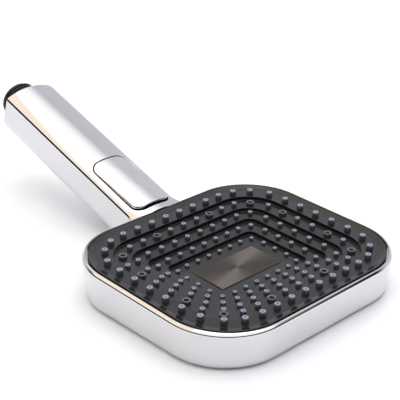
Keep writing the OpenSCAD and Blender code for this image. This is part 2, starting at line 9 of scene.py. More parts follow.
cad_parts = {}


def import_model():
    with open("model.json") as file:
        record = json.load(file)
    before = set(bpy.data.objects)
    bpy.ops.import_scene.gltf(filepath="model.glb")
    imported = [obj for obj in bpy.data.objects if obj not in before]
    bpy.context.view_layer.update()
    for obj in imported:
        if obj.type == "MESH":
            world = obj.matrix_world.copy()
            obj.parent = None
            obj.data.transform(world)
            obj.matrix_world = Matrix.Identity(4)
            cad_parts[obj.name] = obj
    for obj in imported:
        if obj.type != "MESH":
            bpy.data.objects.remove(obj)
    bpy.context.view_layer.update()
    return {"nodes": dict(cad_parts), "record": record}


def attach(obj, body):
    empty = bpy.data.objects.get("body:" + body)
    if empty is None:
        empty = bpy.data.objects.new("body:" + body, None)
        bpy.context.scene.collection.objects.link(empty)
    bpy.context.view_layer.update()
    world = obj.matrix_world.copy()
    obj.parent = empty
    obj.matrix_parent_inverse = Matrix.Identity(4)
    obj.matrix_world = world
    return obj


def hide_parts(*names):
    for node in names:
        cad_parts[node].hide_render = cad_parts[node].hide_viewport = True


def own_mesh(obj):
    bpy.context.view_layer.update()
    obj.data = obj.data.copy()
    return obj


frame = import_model()

# Sizes are in millimetres, as in part.scad, and meshes are scaled to metres when they are made.
MM = 0.001
FACE_H, FACE_TILT = 20.7, math.radians(1.7)
NECK_Y, EDGE_DROP, HANDLE_ANGLE = 58.0, 3.24, math.radians(17.33)
HEAD_W, HEAD_L, HEAD_R, RIM_DROP = 65.5, 57.0, 32.7, 1.3
OPEN_W, OPEN_L, OPEN_R = 63.5, 55.4, 31.0
PLATE_W, PLATE_L, PLATE_R = 62.6, 54.5, 30.1
FLOOR_1, STEP = -1.2, 2.25
FLOORS = [FLOOR_1 - k * STEP for k in range(5)]
HANDLE_HALF, HANDLE_LOW, HEEL_R, CROWN_RISE = 15.5, 22.4, 9.0, 4.15
CROWN_R = (HANDLE_HALF**2 + CROWN_RISE**2) / (2 * CROWN_RISE)
HANDLE_LEN, SHELL_T = 113.4, 2.5
BUTTON_Y0, BUTTON_L, BUTTON_W, BUTTON_R = 2.25, 41.3, 23.7, 6.0
PIN_Y, PIN_Z, PROUD = 40.2, -1.2, math.radians(2.6)
THREAD_Z, THREAD_R, THREAD_PITCH = -10.3, 10.478, 1.814

FACE = Matrix.Translation((0, 0, FACE_H)) @ Matrix.Rotation(FACE_TILT, 4, "X")
HANDLE = FACE @ Matrix.Translation((0, NECK_Y, -EDGE_DROP)) @ Matrix.Rotation(HANDLE_ANGLE, 4, "X")
ROW = Matrix.Identity(4)

# The hose thread's mount fixes where the handle lies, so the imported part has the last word.
hose = next(m for m in frame["record"]["mounts"] if m["name"] == "hose_thread")
hose_y = (HANDLE.inverted() @ (Vector(hose["pos_m"]) / MM)).y
HANDLE = HANDLE @ Matrix.Translation((0, hose_y - 118.8, 0))


# ---------------------------------------------------------------- mesh helpers

MERGE_DIST, DEGENERATE_DIST, NORMAL_WEIGHT = 0.0015, 0.001, 60

class Shell:
    """Collects strips and caps of one closed surface, in row-frame millimetres."""

    def __init__(self):
        self.verts, self.faces = [], []

    def grid(self, rows, closed=False):
        first, n = len(self.verts), len(rows[0])
        for row in rows:
            self.verts += row
        for i in range(len(rows) - 1):
            for j in range(n if closed else n - 1):
                a, b = first + i * n + j, first + i * n + (j + 1) % n
                self.faces.append((a, b, b + n, a + n))

    def cap(self, points):
        first = len(self.verts)
        self.verts += points
        self.faces.append(tuple(range(first, first + len(points))))

    def closed(self, rows):
        """Strips round all the rows, with a cap on the first and the last."""
        self.grid(rows, closed=True)
        self.cap(rows[0])
        self.cap(rows[-1])

    def piece(self, name, material, slot, body, replaces, heights=None, sharp=50):
        """Makes the mesh. Heights go into its height attribute, and edges over the sharp angle stay sharp."""
        mesh = bpy.data.meshes.new(name)
        mesh.from_pydata([Vector(v) * MM for v in self.verts], [], self.faces)
        mesh.materials.append(material)
        if heights is not None:
            layer = mesh.attributes.new("height", "FLOAT", "POINT")
            layer.data.foreach_set("value", np.array(heights, np.float32))
        bm = bmesh.new()
        bm.from_mesh(mesh)
        bmesh.ops.remove_doubles(bm, verts=bm.verts, dist=MERGE_DIST * MM)
        bmesh.ops.dissolve_degenerate(bm, edges=bm.edges, dist=DEGENERATE_DIST * MM)
        bmesh.ops.recalc_face_normals(bm, faces=bm.faces)
        for face in bm.faces:
            face.smooth = True
        for edge in bm.edges:
            if len(edge.link_faces) == 2 and edge.calc_face_angle(0) > math.radians(sharp):
                edge.smooth = False
        bm.to_mesh(mesh)
        bm.free()
        thing = bpy.data.objects.new(name, mesh)
        bpy.context.collection.objects.link(thing)
        smooth = thing.modifiers.new("normals", "WEIGHTED_NORMAL")
        smooth.mode = "FACE_AREA_WITH_ANGLE"
        smooth.keep_sharp = True
        smooth.weight = NORMAL_WEIGHT
        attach(thing, body)
        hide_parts(*replaces)
        return thing


def loop(u, v, r, z, space=FACE, corner=20, side=8):
    """Rounded rectangle of half sizes u and v at height z, counter-clockwise from +X, always with the same count."""
    r = min(r, u, v)
    points = []
    spots = ((u, v, 0), (-u, v, 90), (-u, -v, 180), (u, -v, 270))
    for k, (x, y, turn) in enumerate(spots):
        cx, cy = x - math.copysign(r, x), y - math.copysign(r, y)
        for i in range(corner + 1):
            a = math.radians(turn + 90 * i / corner)
            points.append(Vector((cx + r * math.cos(a), cy + r * math.sin(a), z)))
        nx, ny, next_turn = spots[(k + 1) % 4]
        a = math.radians(next_turn)
        end_x = nx - math.copysign(r, nx) + r * math.cos(a)
        end_y = ny - math.copysign(r, ny) + r * math.sin(a)
        start, end = points[-1], Vector((end_x, end_y, z))
        for i in range(1, side):
            points.append(start.lerp(end, i / side))
    return [space @ p for p in points]


def fillet(a, b, c, r, n):
    """Points on an arc of radius r that rounds the corner b between a and c."""
    u, w = (a - b), (c - b)
    if u.length < 1e-6 or w.length < 1e-6:
        return [b] * (n + 1)
    u.normalize()
    w.normalize()
    half = u.angle(w) / 2
    if half > math.radians(89.5):
        return [b] * (n + 1)
    t = r / math.tan(half)
    centre = b + (u + w).normalized() * (r / math.sin(half))
    p, q = b + u * t - centre, b + w * t - centre
    total = p.angle(q)
    side = (q - p * (p.dot(q) / p.dot(p))).normalized() * p.length
    return [centre + p * math.cos(total * i / n) + side * math.sin(total * i / n) for i in range(n + 1)]


def profile_rows(keys):
    """Rows of a loft through key loops. keys: (loop, fillet radius, steps); the ends have no fillet."""
    rows = []
    for k, (points, r, steps) in enumerate(keys):
        if r == 0 or k in (0, len(keys) - 1):
            rows.append(list(points))
            continue
        before, after = keys[k - 1][0], keys[k + 1][0]
        arcs = [fillet(before[i], p, after[i], r, steps) for i, p in enumerate(points)]
        for s in range(steps + 1):
            rows.append([arc[s] for arc in arcs])
    return rows


def revolve(shell, profile, space, x=0.0, y=0.0, sides=24, capped=True):
    """Turns a list of (radius, height) about the Z axis of a space at x, y."""
    turns = [2 * math.pi * i / sides for i in range(sides)]
    rows = [[space @ Vector((x + r * math.cos(a), y + r * math.sin(a), z)) for a in turns] for r, z in profile]
    if capped:
        shell.closed(rows)
    else:
        shell.grid(rows, closed=True)


# ---------------------------------------------------------------- materials


def new_material(name):
    m = bpy.data.materials.new(name)
    m.use_nodes = True
    return m, m.node_tree, m.node_tree.nodes["Principled BSDF"]


def link(tree, a, b):
    tree.links.new(a, b)


def object_coords(tree):
    return tree.nodes.new("ShaderNodeTexCoord").outputs["Object"]


def noise(tree, coords, scale, detail=3.0, rough=0.5):
    n = tree.nodes.new("ShaderNodeTexNoise")
    n.inputs["Scale"].default_value = scale
    n.inputs["Detail"].default_value = detail
    n.inputs["Roughness"].default_value = rough
    link(tree, coords, n.inputs["Vector"])
    return n.outputs["Fac"]


def span(tree, value, low, high, from_low=0.25, from_high=0.75):
    n = tree.nodes.new("ShaderNodeMapRange")
    n.inputs["From Min"].default_value = from_low
    n.inputs["From Max"].default_value = from_high
    n.inputs["To Min"].default_value = low
    n.inputs["To Max"].default_value = high
    link(tree, value, n.inputs["Value"])
    return n.outputs["Result"]


def ramp(tree, value, stops):
    n = tree.nodes.new("ShaderNodeValToRGB")
    while len(n.color_ramp.elements) < len(stops):
        n.color_ramp.elements.new(0.5)
    for element, (at, colour) in zip(n.color_ramp.elements, stops):
        element.position = at
        element.color = (*colour, 1)
    link(tree, value, n.inputs["Fac"])
    return n.outputs["Color"]


def bump(tree, shader, height, strength, distance):
    n = tree.nodes.new("ShaderNodeBump")
    n.inputs["Strength"].default_value = strength
    n.inputs["Distance"].default_value = distance
    link(tree, height, n.inputs["Height"])
    link(tree, n.outputs["Normal"], shader.inputs["Normal"])


def mottle(tree, shader, value, dark, light):
    """Base colour that drifts between two tones."""
    link(tree, ramp(tree, value, [(0.3, dark), (0.7, light)]), shader.inputs["Base Color"])


def gloss(tree, shader, value, low, high):
    """Roughness that drifts between two values."""
    link(tree, span(tree, value, low, high), shader.inputs["Roughness"])


def chrome_material():
    m, tree, shader = new_material("chrome")
    coords = object_coords(tree)
    shader.inputs["Metallic"].default_value = 1.0
    mottle(tree, shader, noise(tree, coords, 45, 2), (0.665, 0.665, 0.682), (0.69, 0.69, 0.705))
    gloss(tree, shader, noise(tree, coords, 350, 4), 0.035, 0.06)
    bump(tree, shader, noise(tree, coords, 60, 1), 0.02, 0.0004)
    return m


def plastic(name, dark, light, rough, grain=900, depth=0.05, coat=0.0):
    m, tree, shader = new_material(name)
    coords = object_coords(tree)
    mottle(tree, shader, noise(tree, coords, 60, 3), dark, light)
    gloss(tree, shader, noise(tree, coords, 220, 4), rough - 0.03, rough + 0.03)
    shader.inputs["Coat Weight"].default_value = coat
    shader.inputs["Coat Roughness"].default_value = 0.08
    bump(tree, shader, noise(tree, coords, grain, 3), depth, 0.0001)
    return m


def nozzle_material_with_painted_light(name, base, mid, top):
    """Nozzle material: a little light under the surface; painted shade at its foot, a painted highlight at its tip.
    """
    m, tree, shader = new_material(name)
    coords = object_coords(tree)
    height = tree.nodes.new("ShaderNodeAttribute")
    height.attribute_name = "height"
    mixed = tree.nodes.new("ShaderNodeMath")
    mixed.operation = "MULTIPLY_ADD"
    link(tree, noise(tree, coords, 700, 2), mixed.inputs[0])
    mixed.inputs[1].default_value = 0.16
    link(tree, height.outputs["Fac"], mixed.inputs[2])
    # Painted light by height: dark at the foot as painted shade, bright at the tip as a painted highlight; the noise
    # adds a random tone
    colour = ramp(tree, mixed.outputs[0], [(0.1, base), (0.72, mid), (1.0, top)])
    link(tree, colour, shader.inputs["Base Color"])
    gloss(tree, shader, noise(tree, coords, 500, 2), 0.26, 0.36)
    shader.inputs["Subsurface Weight"].default_value = 0.25
    shader.inputs["Subsurface Radius"].default_value = (0.8, 0.9, 1.2)
    shader.inputs["Subsurface Scale"].default_value = 0.0006
    bump(tree, shader, noise(tree, coords, 1600, 2), 0.08, 0.0001)
    return m


def brushed_disc():
    """Dark steel brushed round its centre: its wedges of light are anisotropic reflection."""
    m, tree, shader = new_material("brushed_plate")
    grain = noise(tree, object_coords(tree), 900, 4, 0.6)
    mottle(tree, shader, grain, (0.15, 0.134, 0.125), (0.19, 0.172, 0.16))
    gloss(tree, shader, grain, 0.52, 0.58)
    shader.inputs["Metallic"].default_value = 1.0
    shader.inputs["Anisotropic"].default_value = 1.0
    shader.inputs["Anisotropic Rotation"].default_value = 0.25
    tangent = tree.nodes.new("ShaderNodeTangent")
    tangent.direction_type = "RADIAL"
    tangent.axis = "Z"
    link(tree, tangent.outputs[0], shader.inputs["Tangent"])
    bump(tree, shader, grain, 0.05, 0.00005)
    return m


def metal(name, dark, light, rough, scale=300):
    m, tree, shader = new_material(name)
    shader.inputs["Metallic"].default_value = 1.0
    grain = noise(tree, object_coords(tree), scale, 4)
    mottle(tree, shader, grain, dark, light)
    gloss(tree, shader, grain, rough - 0.06, rough + 0.06)
    bump(tree, shader, grain, 0.06, 0.0001)
    return m


CHROME = chrome_material()
FACE_BLACK = plastic("face_black", (0.007, 0.0065, 0.0068), (0.010, 0.0094, 0.0096), 0.24, 1400, 0.03, 0.0)
# In each nozzle material the first colour is painted shade at the foot and the last a painted highlight at the tip
SILICONE = nozzle_material_with_painted_light("nozzle_silicone", (0.05, 0.055, 0.075), (0.055, 0.06, 0.085), (0.27, 0.29, 0.36))
JET = nozzle_material_with_painted_light("jet_plastic", (0.02, 0.022, 0.03), (0.05, 0.054, 0.072), (0.13, 0.14, 0.17))
PLATE = brushed_disc()
BUTTON = metal("button_grey", (0.70, 0.69, 0.70), (0.74, 0.73, 0.745), 0.16)
BLACK = plastic("black_plastic", (0.016, 0.016, 0.017), (0.026, 0.026, 0.027), 0.45, 1200, 0.12)
CONNECTOR = plastic("connector_black", (0.010, 0.010, 0.011), (0.018, 0.018, 0.019), 0.32, 1500, 0.08, 0.1)
INNER_GREY = plastic("inner_grey", (0.05, 0.05, 0.055), (0.075, 0.075, 0.08), 0.5, 900, 0.15)
INNER_WHITE = plastic("inner_white", (0.6, 0.6, 0.57), (0.68, 0.68, 0.65), 0.42, 900, 0.08)
RUBBER = plastic("seal_rubber", (0.012, 0.012, 0.012), (0.022, 0.022, 0.022), 0.55, 1500, 0.12)
GREEN = plastic("regulator_green", (0.07, 0.28, 0.14), (0.1, 0.34, 0.18), 0.38, 900, 0.06)
STEEL = metal("stainless", (0.52, 0.52, 0.52), (0.66, 0.66, 0.66), 0.28)
BRASS = metal("brass", (0.55, 0.4, 0.17), (0.7, 0.53, 0.25), 0.3)
BY_SLOT = {
    "chrome": CHROME,
    "face_black": FACE_BLACK,
    "nozzle_silicone": SILICONE,
    "jet_plastic": JET,
    "brushed_plate": PLATE,
    "button_grey": BUTTON,
    "stainless": STEEL,
    "black_plastic": BLACK,
    "connector_black": CONNECTOR,
    "inner_grey": INNER_GREY,
    "inner_white": INNER_WHITE,
    "brass": BRASS,
    "seal_rubber": RUBBER,
    "regulator_green": GREEN,
}
for thing in frame["nodes"].values():
    for held in thing.material_slots:
        base = held.material.name.split(".")[0] if held.material else ""
        if base in BY_SLOT:
            held.material = BY_SLOT[base]


# ---------------------------------------------------------------- chrome body: head


PAN_W, PAN_L, PAN_R = 61.2, 53.1, 28.7
PAN_FLOOR, LEDGE_Z = 2.2, -4.0
RIM_W, RIM_L, RIM_R, RIM_Z = 64.4, 56.1, 31.65, -0.35
WALL_LEAN, WALL_H, REST_INSET = 1.2 / 14.8, 19.4, 8
LIP_ROUND, RIM_ROUND, BACK_ROUND = 0.25, 1.5, 4.4


def head_pan(shell):
    """Head, from the hollow's floor up over the rim and down to the flat back."""
    low = WALL_LEAN * WALL_H
    flat = low + REST_INSET
    keys = [
        (loop(PAN_W, PAN_L, PAN_R, PAN_FLOOR, ROW), 0, 0),
        (loop(PAN_W, PAN_L, PAN_R, LEDGE_Z), 0, 0),
        (loop(OPEN_W, OPEN_L, OPEN_R, LEDGE_Z), 0, 0),
        (loop(OPEN_W, OPEN_L, OPEN_R, 0.0), LIP_ROUND, 4),
        (loop(RIM_W, RIM_L, RIM_R, RIM_Z), LIP_ROUND, 3),
        (loop(HEAD_W, HEAD_L, HEAD_R, -RIM_DROP), RIM_ROUND, 10),
        (loop(HEAD_W - low, HEAD_L - low, HEAD_R - low, 0.0, ROW), BACK_ROUND, 8),
        (loop(HEAD_W - flat, HEAD_L - flat, HEAD_R - flat, 0.0, ROW), 0, 0),
    ]
    shell.closed(profile_rows(keys))


# ---------------------------------------------------------------- chrome body: handle

EDGE_R = 3.0
CROWN_Z = CROWN_RISE - CROWN_R
EDGE_CX = HANDLE_HALF - EDGE_R
EDGE_CZ = CROWN_Z + math.sqrt((CROWN_R - EDGE_R) ** 2 - EDGE_CX**2)
EDGE_ANGLE = math.atan2(EDGE_CZ - CROWN_Z, EDGE_CX)
CROWN_END = CROWN_R * math.cos(EDGE_ANGLE)


def crown(x):
    return CROWN_Z + math.sqrt(CROWN_R**2 - x**2)


def lower_section(inset=0.0):
    """Right edge, side, heel, underside, and back up to the left edge: list of (x, z)."""
    half = []
    for i in range(7):
        a = EDGE_ANGLE * (1 - i / 6)
        x, z = EDGE_CX + EDGE_R * math.cos(a), EDGE_CZ + EDGE_R * math.sin(a)
        half.append((x, z, math.cos(a), math.sin(a)))
    low = -(HANDLE_LOW - HEEL_R)
    for i in range(1, 9):
        half.append((HANDLE_HALF, EDGE_CZ + (low - EDGE_CZ) * i / 8, 1, 0))
    for i in range(1, 13):
        a = -math.pi / 2 * i / 12
        x, z = HANDLE_HALF - HEEL_R + HEEL_R * math.cos(a), low + HEEL_R * math.sin(a)
        half.append((x, z, math.cos(a), math.sin(a)))
    right = [(x - nx * inset, z - nz * inset) for x, z, nx, nz in half]
    middle = [((HANDLE_HALF - HEEL_R) * (1 - i / 3), -HANDLE_LOW + inset) for i in range(1, 6)]
    left = [(-x, z) for x, z in reversed(right)]
    return right + middle + left


# Flare into the head's rear wall. FLARE_FLAT is the part of the crown that it leaves alone, FLARE_LOW how far past
# the heel's start it grows on the underside, and FLARE_CROWN_Z the height from which a point counts as crown.
FLARE_R, FLARE_FLAT, FLARE_LOW = 8.0, 9, 4
FLARE_CROWN_Z, HEAD_LEAN = -0.6, 0.08
# Height of the handle frame's origin over the table, and the gap left under the neck
FLOOR_DEPTH, FLOOR_GAP = 19.18, 0.02
HANDLE_TILT = HANDLE_ANGLE + FACE_TILT


def place(x, y, z):
    """Handle frame to row frame, with the flare into the head's rear wall and the flat rest under the neck."""
    if z < 0:
        depth = (FLOOR_DEPTH + math.sin(HANDLE_TILT) * y) / math.cos(HANDLE_TILT)
        z *= min(1.0, (depth - FLOOR_GAP) / HANDLE_LOW)
    face_y = NECK_Y + y * math.cos(HANDLE_ANGLE) - z * math.sin(HANDLE_ANGLE)
    face_z = -EDGE_DROP + y * math.sin(HANDLE_ANGLE) + z * math.cos(HANDLE_ANGLE)
    d = face_y - (HEAD_L - HEAD_LEAN * (-RIM_DROP - face_z))
    if d < FLARE_R:
        d = max(d, 0.0)
        out = FLARE_R - math.sqrt(FLARE_R**2 - (FLARE_R - d) ** 2)
        ax = abs(x)
        if z > FLARE_CROWN_Z:
            t = min(1.0, max(0.0, (ax - FLARE_FLAT) / (HANDLE_HALF - FLARE_FLAT)))
            weight = t * t * (3 - 2 * t)
        else:
            weight = min(1.0, ax / (HANDLE_HALF - HEEL_R + FLARE_LOW))
        x += math.copysign(out * weight, x)
    return HANDLE @ Vector((x, y, z))


END_Y = 55.43


def near_y(z, setback):
    """Where a point of the section at height z meets the plane just behind the opening's wall."""
    return (END_Y + setback - NECK_Y + z * math.sin(HANDLE_ANGLE)) / math.cos(HANDLE_ANGLE)


def crown_xs(lead_x, corner):
    """Crown stations from the left edge to the right edge that match the button opening's ends."""
    flat = BUTTON_W / 2 - BUTTON_R
    left = [-CROWN_END + (CROWN_END - flat) * i / corner for i in range(corner)]
    mid = [-flat + 2 * flat * i / lead_x for i in range(lead_x)]
    right = [flat + (CROWN_END - flat) * i / corner for i in range(corner + 1)]
    return left + mid + right


NEAR_Y, FAR_Y, MID_STEPS = 0.9, 46.5, 22
OPENING_EDGE, END_EDGE, LIP = 0.3, 0.4, 0.3
POCKET_Z, LEDGE_W, VALVE_FLOOR = -5.2, 1.4, -19.5
END_LEAN, SOCKET_Y = 0.25, 48.5
ARC = (22.5, 45, 67.5, 90)


def handle_tube(shell):
    """Neck, opening with its pocket, and the tube to the hose end, as bands that share their rows of points."""
    lead_x, corner = 16, 10
    xs = crown_xs(lead_x, corner)
    y0, y1 = BUTTON_Y0, BUTTON_Y0 + BUTTON_L
    u, r = BUTTON_W / 2, BUTTON_R
    # Rows of the edge columns beside the opening
    near_rows = [NEAR_Y + (y0 + r - NEAR_Y) * i / corner for i in range(corner)]
    mid_rows = [y0 + r + (y1 - y0 - 2 * r) * i / MID_STEPS for i in range(MID_STEPS)]
    far_rows = [y1 - r + (FAR_Y - y1 + r) * i / corner for i in range(corner + 1)]
    edge_ys = near_rows + mid_rows + far_rows

    def ring(y_of, inset=0.0):
        """The whole section, inset, with its y given by a function of z."""
        turned = [math.sqrt(1 - (x / CROWN_R) ** 2) for x in xs]
        top = [(x * (1 - inset / CROWN_R), crown(x) - inset * t) for x, t in zip(xs, turned)]
        return [place(x, y_of(z), z) for x, z in top + lower_section(inset)[1:-1]]

    # Neck: from the opening's wall to the first row beside the button
    rows = [
        ring(lambda z: near_y(z, 0.0), 0.25),
        ring(lambda z: near_y(z, 0.07), 0.07),
        ring(lambda z: near_y(z, 0.25)),
    ]
    for i in range(1, 9):
        t = i / 8
        rows.append(ring(lambda z, t=t: near_y(z, 0.25) * (1 - t) + NEAR_Y * t))
    shell.grid(rows, closed=True)
    shell.cap(rows[0])
    # Sides and underside beside the opening
    low = lower_section()
    shell.grid([[place(x, y, z) for x, z in low] for y in edge_ys])
    # Crown round the opening: from the opening's outline to the surrounding rectangle
    outline, around = [], []
    for y in mid_rows + [y1 - r]:
        outline.append((u, y))
        around.append((CROWN_END, y))
    for i in range(1, corner * 2 + 1):
        a = math.radians(90 * i / (corner * 2))
        outline.append((u - r + r * math.cos(a), y1 - r + r * math.sin(a)))
        if i <= corner:
            around.append((CROWN_END, far_rows[i]))
        else:
            around.append((u - r + (CROWN_END - u + r) * (1 - (i - corner) / corner), FAR_Y))
    for i in range(1, lead_x + 1):
        x = (u - r) * (1 - 2 * i / lead_x)
        outline.append((x, y1))
        around.append((x, FAR_Y))
    for i in range(1, corner * 2 + 1):
        a = math.radians(90 + 90 * i / (corner * 2))
        outline.append((-(u - r) + r * math.cos(a), y1 - r + r * math.sin(a)))
        if i <= corner:
            around.append((-(u - r) - (CROWN_END - u + r) * i / corner, FAR_Y))
        else:
            around.append((-CROWN_END, far_rows[2 * corner - i]))
    for y in reversed(mid_rows):
        outline.append((-u, y))
        around.append((-CROWN_END, y))
    for i in range(1, corner * 2 + 1):
        a = math.radians(180 + 90 * i / (corner * 2))
        outline.append((-(u - r) + r * math.cos(a), y0 + r + r * math.sin(a)))
        if i <= corner:
            around.append((-CROWN_END, (near_rows + [y0 + r])[corner - i]))
        else:
            around.append((-(u - r) - (CROWN_END - u + r) * (1 - (i - corner) / corner), NEAR_Y))
    for i in range(1, lead_x + 1):
        x = (u - r) * (-1 + 2 * i / lead_x)
        outline.append((x, y0))
        around.append((x, NEAR_Y))
    for i in range(1, corner * 2):
        a = math.radians(270 + 90 * i / (corner * 2))
        outline.append((u - r + r * math.cos(a), y0 + r + r * math.sin(a)))
        if i <= corner:
            around.append((u - r + (CROWN_END - u + r) * i / corner, NEAR_Y))
        else:
            around.append((CROWN_END, near_rows[i - corner]))

    def shrunk(d):
        """The opening's outline moved inward by d (outward where d is negative)."""
        moved = []
        for x, y in outline:
            cx = max(-(u - r), min(u - r, x))
            cy = max(y0 + r, min(y1 - r, y))
            n = Vector((x - cx, y - cy))
            n.normalize()
            moved.append((x - n.x * d, y - n.y * d))
        return moved

    edge = OPENING_EDGE
    first = shrunk(-edge)
    rows = []
    for t in (1.0, 0.8, 0.6, 0.4, 0.2, 0.0):
        row = []
        for (ax, ay), (fx, fy) in zip(around, first):
            x, y = ax * t + fx * (1 - t), ay * t + fy * (1 - t)
            row.append(place(x, y, crown(x)))
        rows.append(row)
    for a in ARC:
        s = math.radians(a)
        drop, moved = edge * (1 - math.cos(s)), shrunk(-edge * (1 - math.sin(s)))
        rows.append([place(x, y, crown(x) - drop) for x, y in moved])
    for z, d in ((POCKET_Z, 0), (POCKET_Z, LEDGE_W), (VALVE_FLOOR, LEDGE_W)):
        rows.append([place(x, y, z) for x, y in shrunk(d)])
    shell.grid(rows, closed=True)
    shell.cap(rows[-1])
    # From the far row to the hose end, round the rim and back along the inner wall
    def end_y(z):
        """The end face leans out a little over the crown."""
        return HANDLE_LEN + END_LEAN * max(0.0, z) / CROWN_RISE

    rows = [ring(lambda z, t=t: FAR_Y * (1 - t) + (end_y(z) - END_EDGE) * t) for t in np.linspace(0, 1, 9)]
    for a in ARC:
        s = math.radians(a)
        back, inset = END_EDGE * (1 - math.sin(s)), END_EDGE * (1 - math.cos(s))
        rows.append(ring(lambda z, b=back: end_y(z) - b, inset))
    rows.append(ring(end_y, SHELL_T - LIP))
    for a in (30, 60, 90):
        s = math.radians(a)
        back, inset = LIP * (1 - math.cos(s)), SHELL_T - LIP + LIP * math.sin(s)
        rows.append(ring(lambda z, b=back: end_y(z) - b, inset))
    rows.append(ring(lambda z: SOCKET_Y, SHELL_T))
    shell.grid(rows, closed=True)
    shell.cap(rows[-1])


body_shell = Shell()
head_pan(body_shell)
handle_tube(body_shell)
body_shell.piece("chrome_shell", CHROME, "chrome", "body", ["chrome_body"])


# ---------------------------------------------------------------- spray face

TERRACES = [(51.2, 42.8, 19.2), (43.0, 34.45, 12.0), (35.8, 27.1, 5.6), (28.5, 19.75, 3.6)]
WALL, WALL_DRAFT = 1.8, 0.12
PLATE_T, UNDER_OUT, EDGE_RISE = 2.2, 1.8, 1.25
SLOPE_START, SLOPE_W, SLOPE_POWER, SLOPE_STEPS = 0.35, 3.65, 1.4, 7
SEAT_W, SEAT_L, SEAT_DEPTH = 19.75, 10.15, 0.8


def face_plate():
    shell = Shell()
    # The underside follows the terraces, one plate thickness lower
    keys = []
    for k in (3, 2, 1, 0):
        w, l, r = (size + UNDER_OUT for size in TERRACES[k])
        keys.append((loop(w, l, r, FLOORS[k + 1] - PLATE_T), 0, 0))
        keys.append((loop(w, l, r, FLOORS[k] - PLATE_T), 0, 0))
    keys += [
        (loop(PLATE_W, PLATE_L, PLATE_R, FLOOR_1 - PLATE_T), 0, 0),
        (loop(PLATE_W, PLATE_L, PLATE_R, FLOOR_1 + EDGE_RISE), 0.3, 4),
    ]
    for i in range(1, SLOPE_STEPS + 1):
        t = 1 - i / SLOPE_STEPS
        d = SLOPE_START + SLOPE_W * (1 - t)
        keys.append((loop(PLATE_W - d, PLATE_L - d, PLATE_R - d, FLOOR_1 + EDGE_RISE * t**SLOPE_POWER), 0, 0))
    z = FLOOR_1
    for w, l, r in TERRACES:
        keys.append((loop(w + 0.7, l + 0.7, r + 0.7, z), 0, 0))
        keys.append((loop(w + 0.4, l + 0.4, r + 0.4, z + WALL_DRAFT), 0.15, 2))
        keys.append((loop(w, l, r, z + WALL_DRAFT), 0.2, 3))
        keys.append((loop(w - WALL_DRAFT, l - WALL_DRAFT, r - WALL_DRAFT, z - WALL), 0.2, 3))
        z -= STEP
    keys.append((loop(SEAT_W + 0.15, SEAT_L + 0.15, 0.4, z), 0, 0))
    keys.append((loop(SEAT_W, SEAT_L, 0.3, z), 0, 0))
    keys.append((loop(SEAT_W, SEAT_L, 0.3, z - SEAT_DEPTH), 0, 0))
    shell.closed(profile_rows(keys))
    shell.piece("spray_plate", FACE_BLACK, "face_black", "body", ["face_plate"])


# Half sizes and corner radii of the five loops that the nozzles stand on, then the radius of each loop's nozzles
PATH_W = [55, 47, 39.5, 32.6, 25.8]
PATH_L = [46.4, 38.2, 30.7, 23.3, 16.1]
PATH_R = [22.5, 15.4, 6.8, 5.3, 3.7]
TIP_R = [1.75, 1.5, 1.45, 1.4, 1.25]
COUNT_X, COUNT_Y, JET_TERRACE = 10, 7, 1
JET_SPOTS_X, JET_SPOTS_Y = (0, 3, 7), (0, 2, 5)
JET_R, JET_H, FOOT_Z, SIDES = 2.05, 1.7, -0.8, 24


def side_point(u, v, r, s):
    """Point at length s along one side of a loop, from the middle of one corner to the middle of the next."""
    arc, straight = r * math.pi / 4, 2 * (v - r)
    if s < arc:
        a = math.radians(45) - s / r
        return (u - r + r * math.cos(a), v - r + r * math.sin(a))
    if s < arc + straight:
        return (u, v - r - (s - arc))
    a = -(s - arc - straight) / r
    return (u - r + r * math.cos(a), r - v + r * math.sin(a))


def nozzle_places(k):
    """Places of one terrace's nozzles, and whether each is a jet."""
    u, v, r = PATH_W[k], PATH_L[k], PATH_R[k]
    places = []
    n = COUNT_Y - k
    for i in range(n + 1):
        x, y = side_point(u, v, r, (2 * (v - r) + r * math.pi / 2) * i / (n + 1))
        jet = k == JET_TERRACE and i in JET_SPOTS_Y
        places += [(x, y, jet), (-x, -y, jet)]
    n = COUNT_X - k
    for i in range(n + 1):
        y, x = side_point(v, u, r, (2 * (u - r) + r * math.pi / 2) * i / (n + 1))
        jet = k == JET_TERRACE and i in JET_SPOTS_X
        places += [(-x, y, jet), (x, -y, jet)]
    return places


def nozzles():
    rain, jets, rain_h, jet_h = Shell(), Shell(), [], []
    for k in range(5):
        z0 = FLOORS[k]
        for x, y, jet in nozzle_places(k):
            # The floor drops inward from a riser's foot, so each foot starts below it
            if jet:
                r, h = JET_R, JET_H
                outline = [(r, FOOT_Z), (r, h - 0.35), (r - 0.1, h - 0.1), (r - 0.35, h)]
                outline += [(1.55, h), (1.4, h - 0.12), (1.1, h - 0.7), (1.05, h - 2.2)]
                shell, heights = jets, jet_h
            else:
                r, h = TIP_R[k], 2.4 - 0.2 * k
                end = 0.84 * r
                outline = [(r, FOOT_Z), (r, 0.5), (r * 0.97, 0.75), (end, h - 0.3), (end - 0.09, h - 0.09)]
                outline += [(end - 0.3, h), (0.6, h), (0.5, h - 0.1), (0.46, h - 1.6)]
                shell, heights = rain, rain_h
            revolve(shell, [(a, z0 + b) for a, b in outline], FACE, x, y, SIDES)
            # Height along the nozzle, which places the painted shade at the foot and the painted highlight at the
            # tip
            for _, b in outline:
                heights.extend([max(0.0, min(1.0, b / h))] * SIDES)
            # The two caps count as the foot
            heights.extend([0.0] * 2 * SIDES)
    rain.piece("rain_nozzles", SILICONE, "nozzle_silicone", "body", ["nozzle_mat"], rain_h, sharp=45)
    jets.piece("massage_jets", JET, "jet_plastic", "body", ["jet_nozzles"], jet_h, sharp=45)


